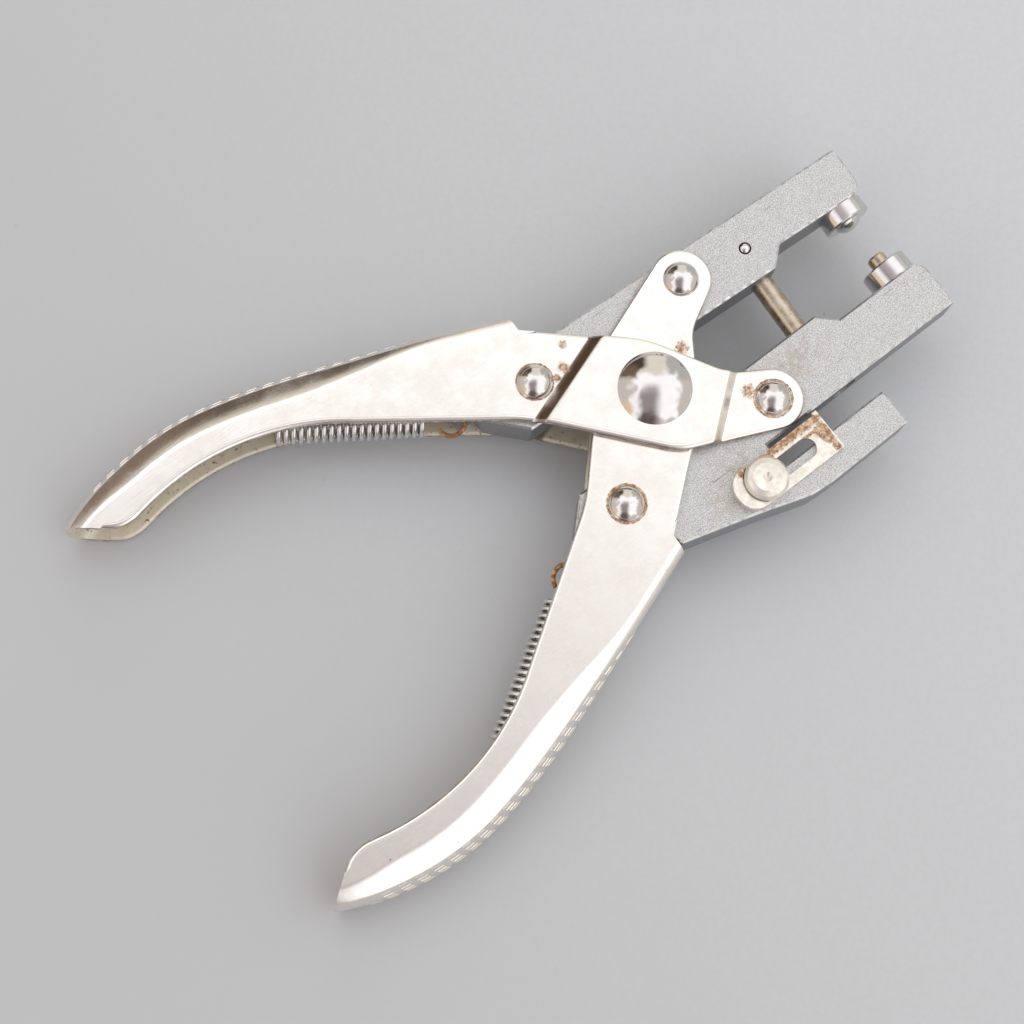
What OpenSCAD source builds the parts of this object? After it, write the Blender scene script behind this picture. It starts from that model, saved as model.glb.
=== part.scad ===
// Parallel-action eyelet pliers, lying on one side with the jaws open.
// X runs forward along the jaws, Y across them and Z up through the thickness.
// The origin is on the resting plane, below the middle of the whole outline.
// Two crossed handles turn on the main rivet. The front lug of each handle
// carries one jaw, and its rear pin slides in a slot in the other jaw's tail.

/* [Thickness] */
// Thickness of the two jaw bars
jaw_t = 9.6; // [8:0.2:12]
// Thickness of the handle sheet
sheet_t = 1.4; // [1:0.1:1.8]
// Side play between a jaw and a cheek, and between the two pairs of cheeks
side_play = 0.1; // [0.06:0.02:0.2]
// Radial play of a turning rivet in its bore
turn_play = 0.05; // [0.02:0.01:0.1]

/* [Linkage] */
// Distance from the main rivet to each lug rivet and rear pin
link_r = 22.13; // [21.5:0.1:24]
// Angle of each link from the centre line, jaws open
open_angle = 39.8; // [38:0.2:42]
// Toe-in of each open jaw, gone when the jaws meet
toe_in = 1.6; // [0:0.1:2]
// Angle by which the handles close
squeeze = 32; // [24:1:32]
// Play of a rear pin in its slot
slot_play = 0.25; // [0.2:0.05:0.5]

/* [Rivets] */
// Shank radius of the main rivet
main_shank_r = 2.8; // [2.4:0.1:3.2]
// Radius of the main rivet's domed heads
main_head_r = 6.95; // [6:0.1:7.4]
// Height of the main rivet's domed heads
main_head_h = 3; // [2:0.1:3.6]
// Wall of the spacer sleeve round the main rivet
sleeve_wall = 0.8; // [0.6:0.1:1.2]
// Shank radius of the lug rivets and rear pins
pin_shank_r = 2.3; // [1.8:0.1:2.5]
// Radius of their domed heads
pin_head_r = 3.4; // [3:0.1:3.6]
// Height of their domed heads
pin_head_h = 2; // [1.4:0.1:2.2]

/* [Jaws] */
// Reach of each jaw ahead of its lug rivet
jaw_reach = 39.6; // [38:0.2:44]
// Lug rivet to the inner edge along the front of the jaw
throat_edge = 4.5; // [4:0.1:5]
// Lug rivet to the inner edge along the heel of the jaw
heel_edge = 7.85; // [7.4:0.05:8]
// Start of the step between heel and throat
step_x = 16.6; // [16.5:0.1:18]
// Length of that step
step_run = 3.4; // [2:0.2:5]
// Lug rivet to the outer edge of the upper jaw
upper_edge = 5.1; // [4.6:0.1:5.6]
// Lug rivet to the outer edge of the lower jaw's arm
lower_edge = 6; // [5.8:0.1:6.4]
// Corner radius at the jaw ends
nose_r = 1.4; // [0.4:0.2:2]

/* [Fork] */
// Width of the gap between the lower jaw's arm and its finger
gap_w = 5.1; // [4.8:0.1:5.6]
// Closed end of the gap, behind the lug rivet
gap_back = 6; // [6:0.2:7]
// Width of the finger
finger_w = 7.4; // [6.6:0.1:9]
// Reach of the finger ahead of the lug rivet
finger_reach = 17.7; // [14:0.5:22]

/* [Tail] */
// End of the deep part of each tail, behind the lug rivet
tail_reach = 46; // [45.6:0.1:47]
// Length of the tongue that the return spring hooks into
tongue_len = 3.5; // [3.4:0.1:4.2]
// Width of that tongue
tongue_w = 3.2; // [2.6:0.1:3.6]
// Radius of the hook hole through the tongue
hook_hole_r = 1; // [0.95:0.05:1.1]

/* [Handles] */
// Radius of the lug round each lug rivet
lug_r = 5.8; // [5.6:0.1:6.2]
// Front end of the spine, behind the main rivet
shoulder_x = 13.6; // [13:0.1:15]
// Front end of the spine, out from the centre line
shoulder_y = 27.5; // [27:0.1:29]
// Slope of the straight part of the spine
spine_slope = 21.5; // [20:0.5:23]
// Length of the straight part of the spine
spine_len = 34.8; // [30:0.5:40]
// Radius of the first, gentle bend of the spine
bend_1_r = 140; // [120:5:200]
// Slope of the spine where the first bend ends
bend_1_slope = 12; // [9:0.5:14]
// Radius of the second bend, over the palm
bend_2_r = 52; // [45:1:60]
// Downward slope of the spine at the tip
tip_slope = 27; // [20:1:30]
// Radius of the spine's rounded corners
spine_corner_r = 5; // [4:0.2:5.4]
// Radius of the hollow inner edge under the palm
palm_r = 51; // [46:1:60]

/* [Return springs] */
// Wire diameter
wire_d = 0.95; // [0.8:0.05:1]
// Mean radius of the coils
coil_r = 2.3; // [1.8:0.1:2.5]
// Distance between curls
coil_pitch = 1.4; // [1.4:0.02:1.44]
// Mean radius of the front hook
front_hook_r = 2.7; // [2.5:0.1:3]
// Mean radius of the rear hook, round the peg
rear_hook_r = 2.1; // [1.9:0.1:2.3]
// Radius of the peg that holds the rear hook
peg_r = 1.2; // [0.9:0.1:1.3]
// Depth of the peg below the spine's outer face
peg_depth = 5.3; // [5:0.1:6.5]

/* [Dies] */
// Die centre ahead of the lug rivets
die_x = 34.8; // [32:0.2:34.8]
// Radius of both dies
die_r = 4.7; // [4:0.1:4.8]
// Height of the upper die
upper_die_h = 3.2; // [2.6:0.1:3.4]
// Radius of the domed nub on the upper die
nub_r = 2.9; // [2.2:0.1:3.4]
// Height of that nub
nub_h = 1.5; // [1:0.1:1.6]
// Height of the lower die
lower_die_h = 3.75; // [3:0.05:3.8]
// Radius of the pilot pin
pilot_r = 1.8; // [1.4:0.1:2]
// Pilot pin above the lower die when at rest
pilot_h = 2.3; // [2.1:0.1:2.6]
// Distance that the pilot pin sinks
pilot_travel = 2; // [1.8:0.1:2.2]
// Radius of the spigots that seat the dies
spigot_r = 3.1; // [3:0.1:3.4]
// Length of those spigots
spigot_len = 3; // [2.6:0.1:3.4]

/* [Guide rod] */
// Guide rod ahead of the lug rivets
rod_x = 13.9; // [13:0.1:14]
// Radius of the guide rod
rod_r = 2.2; // [1.8:0.1:2.3]
// Depth of the rod in the upper jaw
rod_seat = 8.8; // [8.6:0.1:9.6]
// Length of the rod below the upper jaw
rod_out = 15.4; // [14:0.1:15.6]
// Radial play of the rod in the lower jaw, for the toe-in
rod_play = 0.5; // [0.45:0.05:0.7]
// Radius of the cross pin that fixes the rod
cross_pin_r = 1.05; // [0.7:0.05:1.2]
// Cross pin inside the pivot line
cross_pin_y = 1.55; // [1.4:0.05:2.4]

/* [Slide plate] */
// Thickness of the slide plate
plate_t = 1; // [0.8:0.1:1.2]
// Length of the slide plate
plate_len = 22.2; // [21:0.2:24]
// Width of the slide plate
plate_w = 8.1; // [7.4:0.1:8.4]
// Front end of the plate ahead of the lug rivet
plate_front = 4.9; // [4.9:0.1:6]
// Half width of the slot in the plate
plate_slot_r = 2; // [1.9:0.05:2.3]
// Distance that the plate can move back
plate_travel = 9.8; // [8:0.2:9.8]
// Depth of the tab bent down into the gap
tab_depth = 3.2; // [2:0.2:5]
// Height of the upturned lip at the rear
lip_h = 1.2; // [0.6:0.1:2]

/* [Thumb screw] */
// Screw axis behind the lug rivet
screw_x = 10.9; // [10.4:0.1:12]
// Screw axis outside the lug rivet
screw_y = 11.1; // [11:0.1:11.6]
// Radius of the screw's head
knob_r = 4.15; // [3.6:0.05:4.3]
// Height of the screw's head
knob_h = 3.1; // [2.6:0.1:3.6]
// Radius of the screw's shank
screw_r = 1.65; // [1.4:0.05:1.75]

/* [Hidden] */
$fn = 64;

// Levels above the middle plane
cheek_in = jaw_t / 2 + side_play;
cheek_out = cheek_in + sheet_t;
raised_in = cheek_out + side_play;
raised_out = raised_in + sheet_t;
rest_z = raised_out + main_head_h;
far = 150;
slot_seam = 0.01;

// Points, lines and outlines
function polar(r, a) = [r * cos(a), r * sin(a)];
function unit(v) = v / norm(v);
function meet(p, u, q, v) = p + u * cross(q - p, v) / cross(u, v);
function arc(c, r, a, b, n) = [for (i = [0:n]) c + polar(r, a + (b - a) * i / n)];

// Points that round the corner at q between its neighbours p and s
function corner(p, q, s, r, n = 5) = let (
    u = unit(p - q),
    v = unit(s - q),
    half = acos(u * v) / 2,
    c = q + unit(u + v) * r / sin(half),
    first = q + u * r / tan(half) - c,
    last = q + v * r / tan(half) - c,
    a = atan2(first[1], first[0]),
    turn = (atan2(last[1], last[0]) - a + 540) % 360 - 180
) arc(c, r, a, a + turn, n);

// Links of handle A, then those of handle B mirrored, jaws open
link_x = link_r * cos(open_angle);
link_y = link_r * sin(open_angle);
front_a = [link_x, -link_y];
rear_a = -front_a;

// Spine of handle A: a straight part and two bends
spine_dir = [-cos(spine_slope), sin(spine_slope)];
spine_in = -[sin(spine_slope), cos(spine_slope)];
shoulder = [-shoulder_x, shoulder_y];
bend_1_at = shoulder + spine_len * spine_dir;
bend_1_c = bend_1_at + bend_1_r * spine_in;
bend_2_at = bend_1_c + polar(bend_1_r, 90 - bend_1_slope);
bend_2_c = bend_2_at - polar(bend_2_r, 90 - bend_1_slope);
tip = bend_2_c + polar(bend_2_r, 90 + tip_slope);

// Inner edge of the handle, from the palm to the lug
palm_slope = 37.6;
palm_front = [-46.2, 27.3];
palm_c = palm_front - polar(palm_r, 90 - palm_slope);
palm_rear_angle = 114;
elbow = [-22.8, 9.4];
elbow_r = 30;
heel = [-3.4, -12.2];
heel_r = 12;
lug_rear_angle = -112.3;
lug_front_angle = 60;

// Outer edge of the handle, from the lug to the front of the spine
neck = [12.8, -5];
neck_r = 8;
crossing = [4.4, 8.6];
crossing_r = 20;
front_slope = 40.7;
front_dir = [-cos(front_slope), sin(front_slope)];
tip_cut_slope = 38.3;

// Depth at which the cheeks run into the bent sheet, and how far the sheet reaches
seam_depth = spine_corner_r + 1;
sweep_depth = spine_corner_r + 2;
sweep_ahead = 14;
sweep_beyond = 6;
seam_step = 1.3;
// Each bend starts inside the part before it, and a hair deeper than that part
lap_1 = 3;
lap_2 = 6;
lap_inset = 0.02;
seam_front = meet(crossing, front_dir, shoulder + seam_depth * spine_in, spine_dir);
front_trim = 0.15;

// Plan of one cheek of handle A
lug_rear = front_a + polar(lug_r, lug_rear_angle);
lug_front = front_a + polar(lug_r, lug_front_angle);
bend_1_seam = bend_1_r - seam_depth;
bend_2_seam = bend_2_r - seam_depth;
cheek_plan = concat(
    arc(palm_c, palm_r, palm_rear_angle, 90 - palm_slope, 14),
    corner(palm_front, elbow, heel, elbow_r),
    corner(elbow, heel, lug_rear, heel_r),
    arc(front_a, lug_r, lug_rear_angle, lug_front_angle, 20),
    corner(lug_front, neck, crossing, neck_r),
    corner(neck, crossing, seam_front, crossing_r),
    [seam_front],
    arc(bend_1_c, bend_1_seam, 90 - spine_slope + seam_step, 90 - bend_1_slope - seam_step, 4),
    arc(bend_2_c, bend_2_seam, 90 - bend_1_slope + seam_step, 90 + tip_slope + seam_step, 14)
);

// Section of the bent sheet: depth below the spine's outer face, and height.
// It is a hair thinner than the cheeks, whose inner faces so run clear of it.
corner_z = cheek_out - spine_corner_r;
bend_t = sheet_t - lap_inset;
bend_out = arc([spine_corner_r, corner_z], spine_corner_r, 90, 180, 8);
bend_in = arc([spine_corner_r, corner_z], spine_corner_r - bend_t, 180, 90, 8);
sheet_section = concat(
    [[sweep_depth, cheek_out]],
    bend_out,
    [for (i = [8:-1:0]) [bend_out[i][0], -bend_out[i][1]]],
    [[sweep_depth, -cheek_out]],
    [[sweep_depth, bend_t - cheek_out]],
    [for (i = [8:-1:0]) [bend_in[i][0], -bend_in[i][1]]],
    bend_in,
    [[sweep_depth, cheek_out - bend_t]]
);

// Joggles that lift the middle of handle A over handle B
rear_joggle_dir = 110.7;
rear_joggle_at = 13.3;
rear_joggle_w = 2.3;
front_joggle_dir = -49.9;
front_joggle_at = 12.65;
front_joggle_w = 1.6;

// Jaws, in the frame of their lug rivet, with y outward
heel_end = tail_reach - 6.6;
tail_slope_y = 1.3;
tongue_y = 1.2;
tail_edge_x = -33.2;
back_corner = [-5.5, 18];
finger_in = lower_edge + gap_w;
finger_out = finger_in + finger_w;
nose_in = [jaw_reach, -throat_edge];
inner_edge = concat(
    [[-tail_reach - tongue_len, tongue_y]],
    [[-tail_reach, tongue_y]],
    [[-tail_reach, -tail_slope_y]],
    [[-heel_end, -heel_edge]],
    [[step_x, -heel_edge]],
    [[step_x + step_run, -throat_edge]],
    corner([0, -throat_edge], nose_in, [jaw_reach, 0], nose_r)
);
tail_edge = [
    [-tail_reach, upper_edge],
    [-tail_reach, tongue_y + tongue_w],
    [-tail_reach - tongue_len, tongue_y + tongue_w]
];
sleeve_r = main_shank_r + turn_play + sleeve_wall;
relief_r = sleeve_r + 0.5;

// A point of the tool seen from the upper jaw when each link is at an angle
function from_jaw(p, angle, toe) = let (
    d = p - polar(link_r, angle)
) [d[0] * cos(toe) - d[1] * sin(toe), d[0] * sin(toe) + d[1] * cos(toe)];
closed_angle = open_angle - squeeze / 2;
hub_open = from_jaw([0, 0], open_angle, toe_in);
hub_closed = from_jaw([0, 0], closed_angle, 0);
pin_open = from_jaw(rear_a, open_angle, toe_in);
pin_closed = from_jaw(polar(link_r, 180 - closed_angle), closed_angle, 0);

// Middle of the whole outline, from the handle tips to the jaw ends
nose_x = link_x + jaw_reach * cos(toe_in) + lower_edge * sin(toe_in);
middle_x = (tip[0] + nose_x) / 2;

// Die seats and what the lower die holds
guide_floor = 0.9;
collar_r = 2.3;
collar_t = 0.8;
chamber_r = 2.4;
chamber_depth = 7;
stem_r = 0.8;
stem_len = 3.6;
die_chamfer = 0.3;
pilot_chamfer = 0.4;
pilot_relief = 0.25;
pilot_coil_r = 1.7;
pilot_wire_d = 0.5;
pilot_turns = 5;
pilot_coil_len = 6.1;

// Slide plate and thumb screw
plate_z = jaw_t / 2 + turn_play;
plate_low = lower_edge + 0.95;
plate_mid = plate_low + plate_w / 2;
plate_high = plate_low + plate_w;
plate_back = plate_len - plate_front;
plate_rear_r = 3.6;
plate_nose_r = 0.4;
lip_x = plate_t - plate_back + plate_w / 2;
lip_play = 0.2;
tab_w = gap_w - 1;
knob_z = plate_z + plate_t + turn_play;

module on_floor() {
    translate([-middle_x, 0, rest_z]) children();
}

module upper_frame() {
    on_floor() translate([link_x, link_y, 0]) rotate(-toe_in) children();
}

module at_b() {
    mirror([0, 1, 0]) children();
}

module lower_frame() {
    at_b() upper_frame() children();
}

module both_sides() {
    children();
    mirror([0, 0, 1]) children();
}

// A bore or pin across the middle plane
module through(at, r, h = far) {
    translate(at) cylinder(r = r, h = h, center = true);
}

// A slot from a to b with round ends
module slot(a, b, r) {
    d = b - a;
    half = r - slot_seam;
    through(a, r);
    through(b, r);
    translate(a) rotate(atan2(d[1], d[0])) translate([0, -half, -far / 2]) cube([norm(d), 2 * half, far]);
}

// Rivet with a shank between z and -z and a shallow dome on both ends
module rivet(z, shank_r, head_r, head_h) {
    ball_r = (head_r * head_r + head_h * head_h) / (2 * head_h);
    cylinder(r = shank_r, h = 2 * z, center = true);
    both_sides() translate([0, 0, z]) intersection() {
        translate([0, 0, head_h - ball_r]) sphere(r = ball_r);
        cylinder(r = ball_r, h = ball_r);
    }
}

// A frame standing on the inner edge of a jaw, with Z toward the other jaw
module on_edge(x, y, z = 0) {
    translate([x, y, 0]) rotate([90, 0, 0]) translate([0, 0, z]) children();
}

// Tube of wire along a path, with frames carried from ring to ring
function tangent(p, i) = unit(p[min(i + 1, len(p) - 1)] - p[max(i - 1, 0)]);
function level(n, t) = unit(n - (n * t) * t);
module wire(p, r) {
    last = len(p) - 1;
    t = [for (i = [0:last]) tangent(p, i)];
    start = level([0.3, 0.2, 0.9], t[0]);
    n = [for (i = 0, v = start; i <= last; i = i + 1, v = level(v, t[min(i, last)])) v];
    points = [
        for (i = [0:last]) let (b = cross(t[i], n[i]))
            for (k = [0:5]) p[i] + r * (cos(60 * k) * n[i] + sin(60 * k) * b)
    ];
    sides = [
        for (i = [0:last - 1]) for (k = [0:5]) let (
            a = 6 * i + k,
            b = 6 * i + (k + 1) % 6
        ) each [[a, a + 6, b + 6], [a, b + 6, b]]
    ];
    ends = [[for (k = [0:5]) k], [for (k = [5:-1:0]) 6 * last + k]];
    polyhedron(points = points, faces = concat(sides, ends), convexity = 20);
}

// Least distance between parts of a path that are not neighbours
function least_gap(p, d) = min([
    for (i = [0:len(p) - 7]) for (j = [i + 6:len(p) - 1]) norm(p[i] - p[j])
]) - d;

// Return spring of handle A, from the tongue of the upper jaw to the peg
peg = bend_2_c + polar(bend_2_r - peg_depth, 91.2 - bend_1_slope);
tongue_mid = [-tail_reach - tongue_len / 2, tongue_y + tongue_w / 2];
hook_at = [
    link_x + tongue_mid[0] * cos(toe_in) + tongue_mid[1] * sin(toe_in) + 0.27 - front_hook_r,
    link_y - tongue_mid[0] * sin(toe_in) + tongue_mid[1] * cos(toe_in)
];
coil_turns = 22;
coil_start = 4.9;
pull = norm(peg - hook_at);
pull_dir = unit(peg - hook_at);
curl_steps = 8;
blend_steps = 4;
function smooth(f) = f * f * (3 - 2 * f);
function coil_point(a) = [coil_start + coil_pitch * a / 360, coil_r * cos(a), coil_r * sin(a)];
function hook_point(c, r, a) = [c + r * cos(a), r * sin(a), 0];
spring_path = concat(
    [for (i = [0:9]) hook_point(0, front_hook_r, -31 - 259 * i / 9)],
    [for (i = [1:blend_steps - 1]) let (f = i / blend_steps)
        (1 - smooth(f)) * hook_point(0, front_hook_r, -290 - 70 * f)
        + smooth(f) * coil_point(120 * f - 120)],
    [for (i = [0:coil_turns * curl_steps]) coil_point(360 * i / curl_steps)],
    [for (i = [1:blend_steps - 1]) let (f = i / blend_steps)
        (1 - smooth(f)) * coil_point(360 * coil_turns + 120 * f)
        + smooth(f) * hook_point(pull, rear_hook_r, 180 - 70 * f)],
    [for (i = [0:9]) hook_point(pull, rear_hook_r, 110 - 259 * i / 9)]
);
placed_spring = [for (q = spring_path) [
    hook_at[0] + q[0] * pull_dir[0] + q[1] * pull_dir[1],
    hook_at[1] + q[0] * pull_dir[1] - q[1] * pull_dir[0],
    q[2]
]];
pilot_path = [for (i = [0:pilot_turns * curl_steps]) let (a = 360 * i / curl_steps) [
    pilot_coil_r * cos(a),
    pilot_coil_r * sin(a),
    pilot_wire_d - chamber_depth + pilot_coil_len * i / (pilot_turns * curl_steps)
]];

// Bent sheet along the spine of handle A, from ahead of the shoulder to beyond the tip
module spine_sweep() {
    start = shoulder - sweep_ahead * spine_dir;
    translate(start) rotate([90, 0, 270 - spine_slope])
        linear_extrude(sweep_ahead + spine_len) polygon(sheet_section);
    translate(bend_1_c) rotate(90 - spine_slope - lap_1)
        rotate_extrude(angle = spine_slope - bend_1_slope + lap_1)
            translate([bend_1_r - lap_inset, 0]) mirror([1, 0]) polygon(sheet_section);
    translate(bend_2_c) rotate(90 - bend_1_slope - lap_2)
        rotate_extrude(angle = bend_1_slope + tip_slope + sweep_beyond + lap_2)
            translate([bend_2_r - 2 * lap_inset, 0]) mirror([1, 0]) polygon(sheet_section);
}

// A block with one ramp down, from high near the main rivet to low
module ramp(direction, at, w, low, high) {
    rotate([90, 0, direction]) linear_extrude(2 * far, center = true) polygon([
        [-far, 0],
        [far, 0],
        [far, low],
        [at + w, low],
        [at, high],
        [-far, high]
    ]);
}

// A block that both joggles bound
module joggled(low, high) {
    intersection() {
        ramp(rear_joggle_dir, rear_joggle_at, rear_joggle_w, low, high);
        ramp(front_joggle_dir, front_joggle_at, front_joggle_w, low, high);
    }
}

module raised_cheek() {
    intersection() {
        linear_extrude(rest_z) polygon(cheek_plan);
        difference() {
            joggled(cheek_out, raised_out);
            joggled(cheek_in, raised_in);
        }
    }
}

module flat_cheek() {
    translate([0, 0, cheek_in]) linear_extrude(sheet_t) polygon(cheek_plan);
}

// What trims a shell: the front of the bend, in line with the cheek, and the slanted tip
module end_cuts() {
    trim = front_trim * [-sin(front_slope), -cos(front_slope)];
    linear_extrude(far, center = true) polygon([
        meet(crossing + trim, front_dir, shoulder, [0, 1]),
        [-shoulder_x, far],
        [far, far],
        crossing + trim - far * front_dir
    ]);
    translate(tip) rotate(-tip_cut_slope) translate([-far, -far, -far / 2]) cube([2 * far, far, far]);
}

module shell(hub_r) {
    difference() {
        union() {
            spine_sweep();
            both_sides() children();
        }
        end_cuts();
        through([0, 0], hub_r);
        through(front_a, pin_shank_r);
        through(rear_a, pin_shank_r);
        through(peg, peg_r);
    }
}

module handle_a_shell() {
    color("silver") on_floor() shell(main_shank_r) raised_cheek();
}

module handle_b_shell() {
    color("silver") on_floor() at_b() shell(main_shank_r + turn_play) flat_cheek();
}

// What both jaws have cut out of them
module jaw_cuts() {
    slot(hub_open, hub_closed, relief_r);
    slot(pin_open, pin_closed, pin_shank_r + slot_play);
    through([0, 0], pin_shank_r + turn_play);
    translate([tongue_mid[0], tongue_mid[1], 0]) rotate([90, 0, 0])
        cylinder(r = hook_hole_r, h = 2 * tongue_w, center = true);
    on_edge(die_x, -throat_edge, -spigot_len) cylinder(r = spigot_r, h = 2 * spigot_len);
}

module upper_jaw_bar() {
    color("lightgray") upper_frame() difference() {
        linear_extrude(jaw_t, center = true) polygon(concat(
            inner_edge,
            [[jaw_reach, upper_edge]],
            tail_edge
        ));
        jaw_cuts();
        on_edge(rod_x, -heel_edge, -rod_seat) cylinder(r = rod_r, h = 2 * rod_seat);
        through([rod_x, -cross_pin_y], cross_pin_r);
    }
}

module lower_jaw_bar() {
    color("lightgray") lower_frame() difference() {
        linear_extrude(jaw_t, center = true) polygon(concat(
            inner_edge,
            [[jaw_reach, lower_edge]],
            [[-gap_back, lower_edge]],
            [[-gap_back, finger_in]],
            [[finger_reach, finger_in]],
            [[finger_reach, finger_out]],
            [[0, finger_out]],
            [back_corner],
            [[tail_edge_x, upper_edge]],
            tail_edge
        ));
        jaw_cuts();
        on_edge(die_x, -throat_edge, -chamber_depth) cylinder(r = chamber_r, h = chamber_depth);
        on_edge(rod_x - 0.3, lower_edge + 1) cylinder(r = rod_r + rod_play, h = heel_edge + lower_edge + 3);
        through([-screw_x, screw_y], screw_r + turn_play);
    }
}

module main_rivet() {
    color("silver") on_floor() rivet(raised_out, main_shank_r, main_head_r, main_head_h);
}

module spacer_sleeve() {
    color("gray") on_floor() difference() {
        through([0, 0], sleeve_r, 2 * cheek_in);
        through([0, 0], main_shank_r + turn_play);
    }
}

module small_rivet() {
    rivet(cheek_out, pin_shank_r, pin_head_r, pin_head_h);
}

module lug_rivet_a() {
    color("silver") on_floor() translate(front_a) small_rivet();
}

module lug_rivet_b() {
    color("silver") on_floor() at_b() translate(front_a) small_rivet();
}

module rear_pin_a() {
    color("silver") on_floor() translate(rear_a) small_rivet();
}

module rear_pin_b() {
    color("silver") on_floor() at_b() translate(rear_a) small_rivet();
}

module spring_peg_a() {
    color("gray") on_floor() through(peg, peg_r, 2 * cheek_out);
}

module spring_peg_b() {
    color("gray") on_floor() at_b() through(peg, peg_r, 2 * cheek_out);
}

module return_spring_a() {
    echo(return_spring_gap_mm = least_gap(placed_spring, wire_d));
    color("darkgray") on_floor() wire(placed_spring, wire_d / 2);
}

module return_spring_b() {
    color("darkgray") on_floor() at_b() wire(placed_spring, wire_d / 2);
}

module guide_rod() {
    color("tan") upper_frame() difference() {
        on_edge(rod_x, -heel_edge, -rod_seat) cylinder(r = rod_r, h = rod_seat + rod_out);
        through([rod_x, -cross_pin_y], cross_pin_r);
    }
}

module cross_pin() {
    color("silver") upper_frame() through([rod_x, -cross_pin_y], cross_pin_r, jaw_t);
}

module upper_die() {
    ball_r = (nub_r * nub_r + nub_h * nub_h) / (2 * nub_h);
    color("silver") upper_frame() on_edge(die_x, -throat_edge) rotate_extrude() polygon(concat(
        [[0, -spigot_len]],
        [[spigot_r, -spigot_len]],
        [[spigot_r, 0]],
        [[die_r, 0]],
        [[die_r, upper_die_h - die_chamfer]],
        [[die_r - die_chamfer, upper_die_h]],
        arc([0, upper_die_h + nub_h - ball_r], ball_r, acos(nub_r / ball_r), 90, 6)
    ));
}

module lower_die() {
    color("silver") lower_frame() on_edge(die_x, -throat_edge) rotate_extrude() polygon([
        [collar_r + turn_play, -spigot_len],
        [spigot_r, -spigot_len],
        [spigot_r, 0],
        [die_r, 0],
        [die_r, lower_die_h - die_chamfer],
        [die_r - die_chamfer, lower_die_h],
        [pilot_r + pilot_relief + turn_play, lower_die_h],
        [pilot_r + pilot_relief + turn_play, guide_floor],
        [collar_r + turn_play, guide_floor]
    ]);
}

module pilot_pin() {
    collar_top = guide_floor - turn_play;
    pilot_top = lower_die_h + pilot_h;
    color("tan") lower_frame() on_edge(die_x, -throat_edge) rotate_extrude() polygon([
        [0, collar_top - collar_t - stem_len],
        [stem_r, collar_top - collar_t - stem_len],
        [stem_r, collar_top - collar_t],
        [collar_r, collar_top - collar_t],
        [collar_r, collar_top],
        [pilot_r + pilot_relief, collar_top],
        [pilot_r + pilot_relief, lower_die_h],
        [pilot_r, lower_die_h],
        [pilot_r, pilot_top - pilot_chamfer],
        [pilot_r - pilot_chamfer, pilot_top],
        [0, pilot_top]
    ]);
}

module pilot_spring() {
    echo(pilot_spring_gap_mm = least_gap(pilot_path, pilot_wire_d));
    color("darkgray") lower_frame() on_edge(die_x, -throat_edge) wire(pilot_path, pilot_wire_d / 2);
}

module slide_plate() {
    outline = concat(
        corner([0, plate_low], [plate_front, plate_low], [plate_front, plate_high], plate_nose_r),
        corner([plate_front, plate_low], [plate_front, plate_high], [0, plate_high], plate_nose_r),
        corner([0, plate_high], [-plate_back, plate_high], [-plate_back, plate_low], plate_rear_r),
        corner([-plate_back, plate_high], [-plate_back, plate_low], [0, plate_low], plate_rear_r)
    );
    color("silver") lower_frame() {
        difference() {
            translate([0, 0, plate_z]) linear_extrude(plate_t + lip_h) polygon(outline);
            translate([-screw_x, screw_y, plate_z + plate_t]) cylinder(r = knob_r + lip_play, h = far);
            translate([lip_x, plate_low - 1, plate_z + plate_t]) cube([far, plate_w + 2, far]);
            slot([-screw_x, screw_y], [plate_travel - screw_x, screw_y], plate_slot_r);
        }
        translate([plate_front - plate_t, finger_in - gap_w / 2 - tab_w / 2, plate_z - tab_depth])
            cube([plate_t, tab_w, tab_depth + plate_t]);
    }
}

module thumb_screw() {
    color("silver") lower_frame() translate([-screw_x, screw_y, 0]) {
        translate([0, 0, -jaw_t / 2]) cylinder(r = screw_r, h = jaw_t / 2 + knob_z + 0.5);
        translate([0, 0, knob_z]) rotate_extrude() polygon([
            [0, 0],
            [knob_r - 0.35, 0],
            [knob_r - 0.25, 0.9],
            [knob_r - 0.5, 1.1],
            [knob_r, 1.5],
            [knob_r, 1.9],
            [knob_r - 0.5, knob_h - 0.5],
            [knob_r - 1.5, knob_h],
            [0.9, knob_h - 0.15],
            [0, knob_h - 0.9]
        ]);
    }
}

handle_a_shell();
handle_b_shell();
upper_jaw_bar();
lower_jaw_bar();
main_rivet();
spacer_sleeve();
lug_rivet_a();
lug_rivet_b();
rear_pin_a();
rear_pin_b();
spring_peg_a();
spring_peg_b();
return_spring_a();
return_spring_b();
guide_rod();
cross_pin();
upper_die();
lower_die();
pilot_pin();
pilot_spring();
slide_plate();
thumb_screw();
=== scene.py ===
"""Eyelet pliers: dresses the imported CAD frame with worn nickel, blasted steel and rust.

Points are written in the tool's own frame: millimetres, with the main rivet's middle as
the origin, X towards the jaws, Y towards handle A and Z towards the near side. The row is
the frame's space in metres, in which the tool is moved along X and raised.
"""

import math

import bmesh
import bpy
from mathutils import Matrix, Quaternion, Vector

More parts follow.
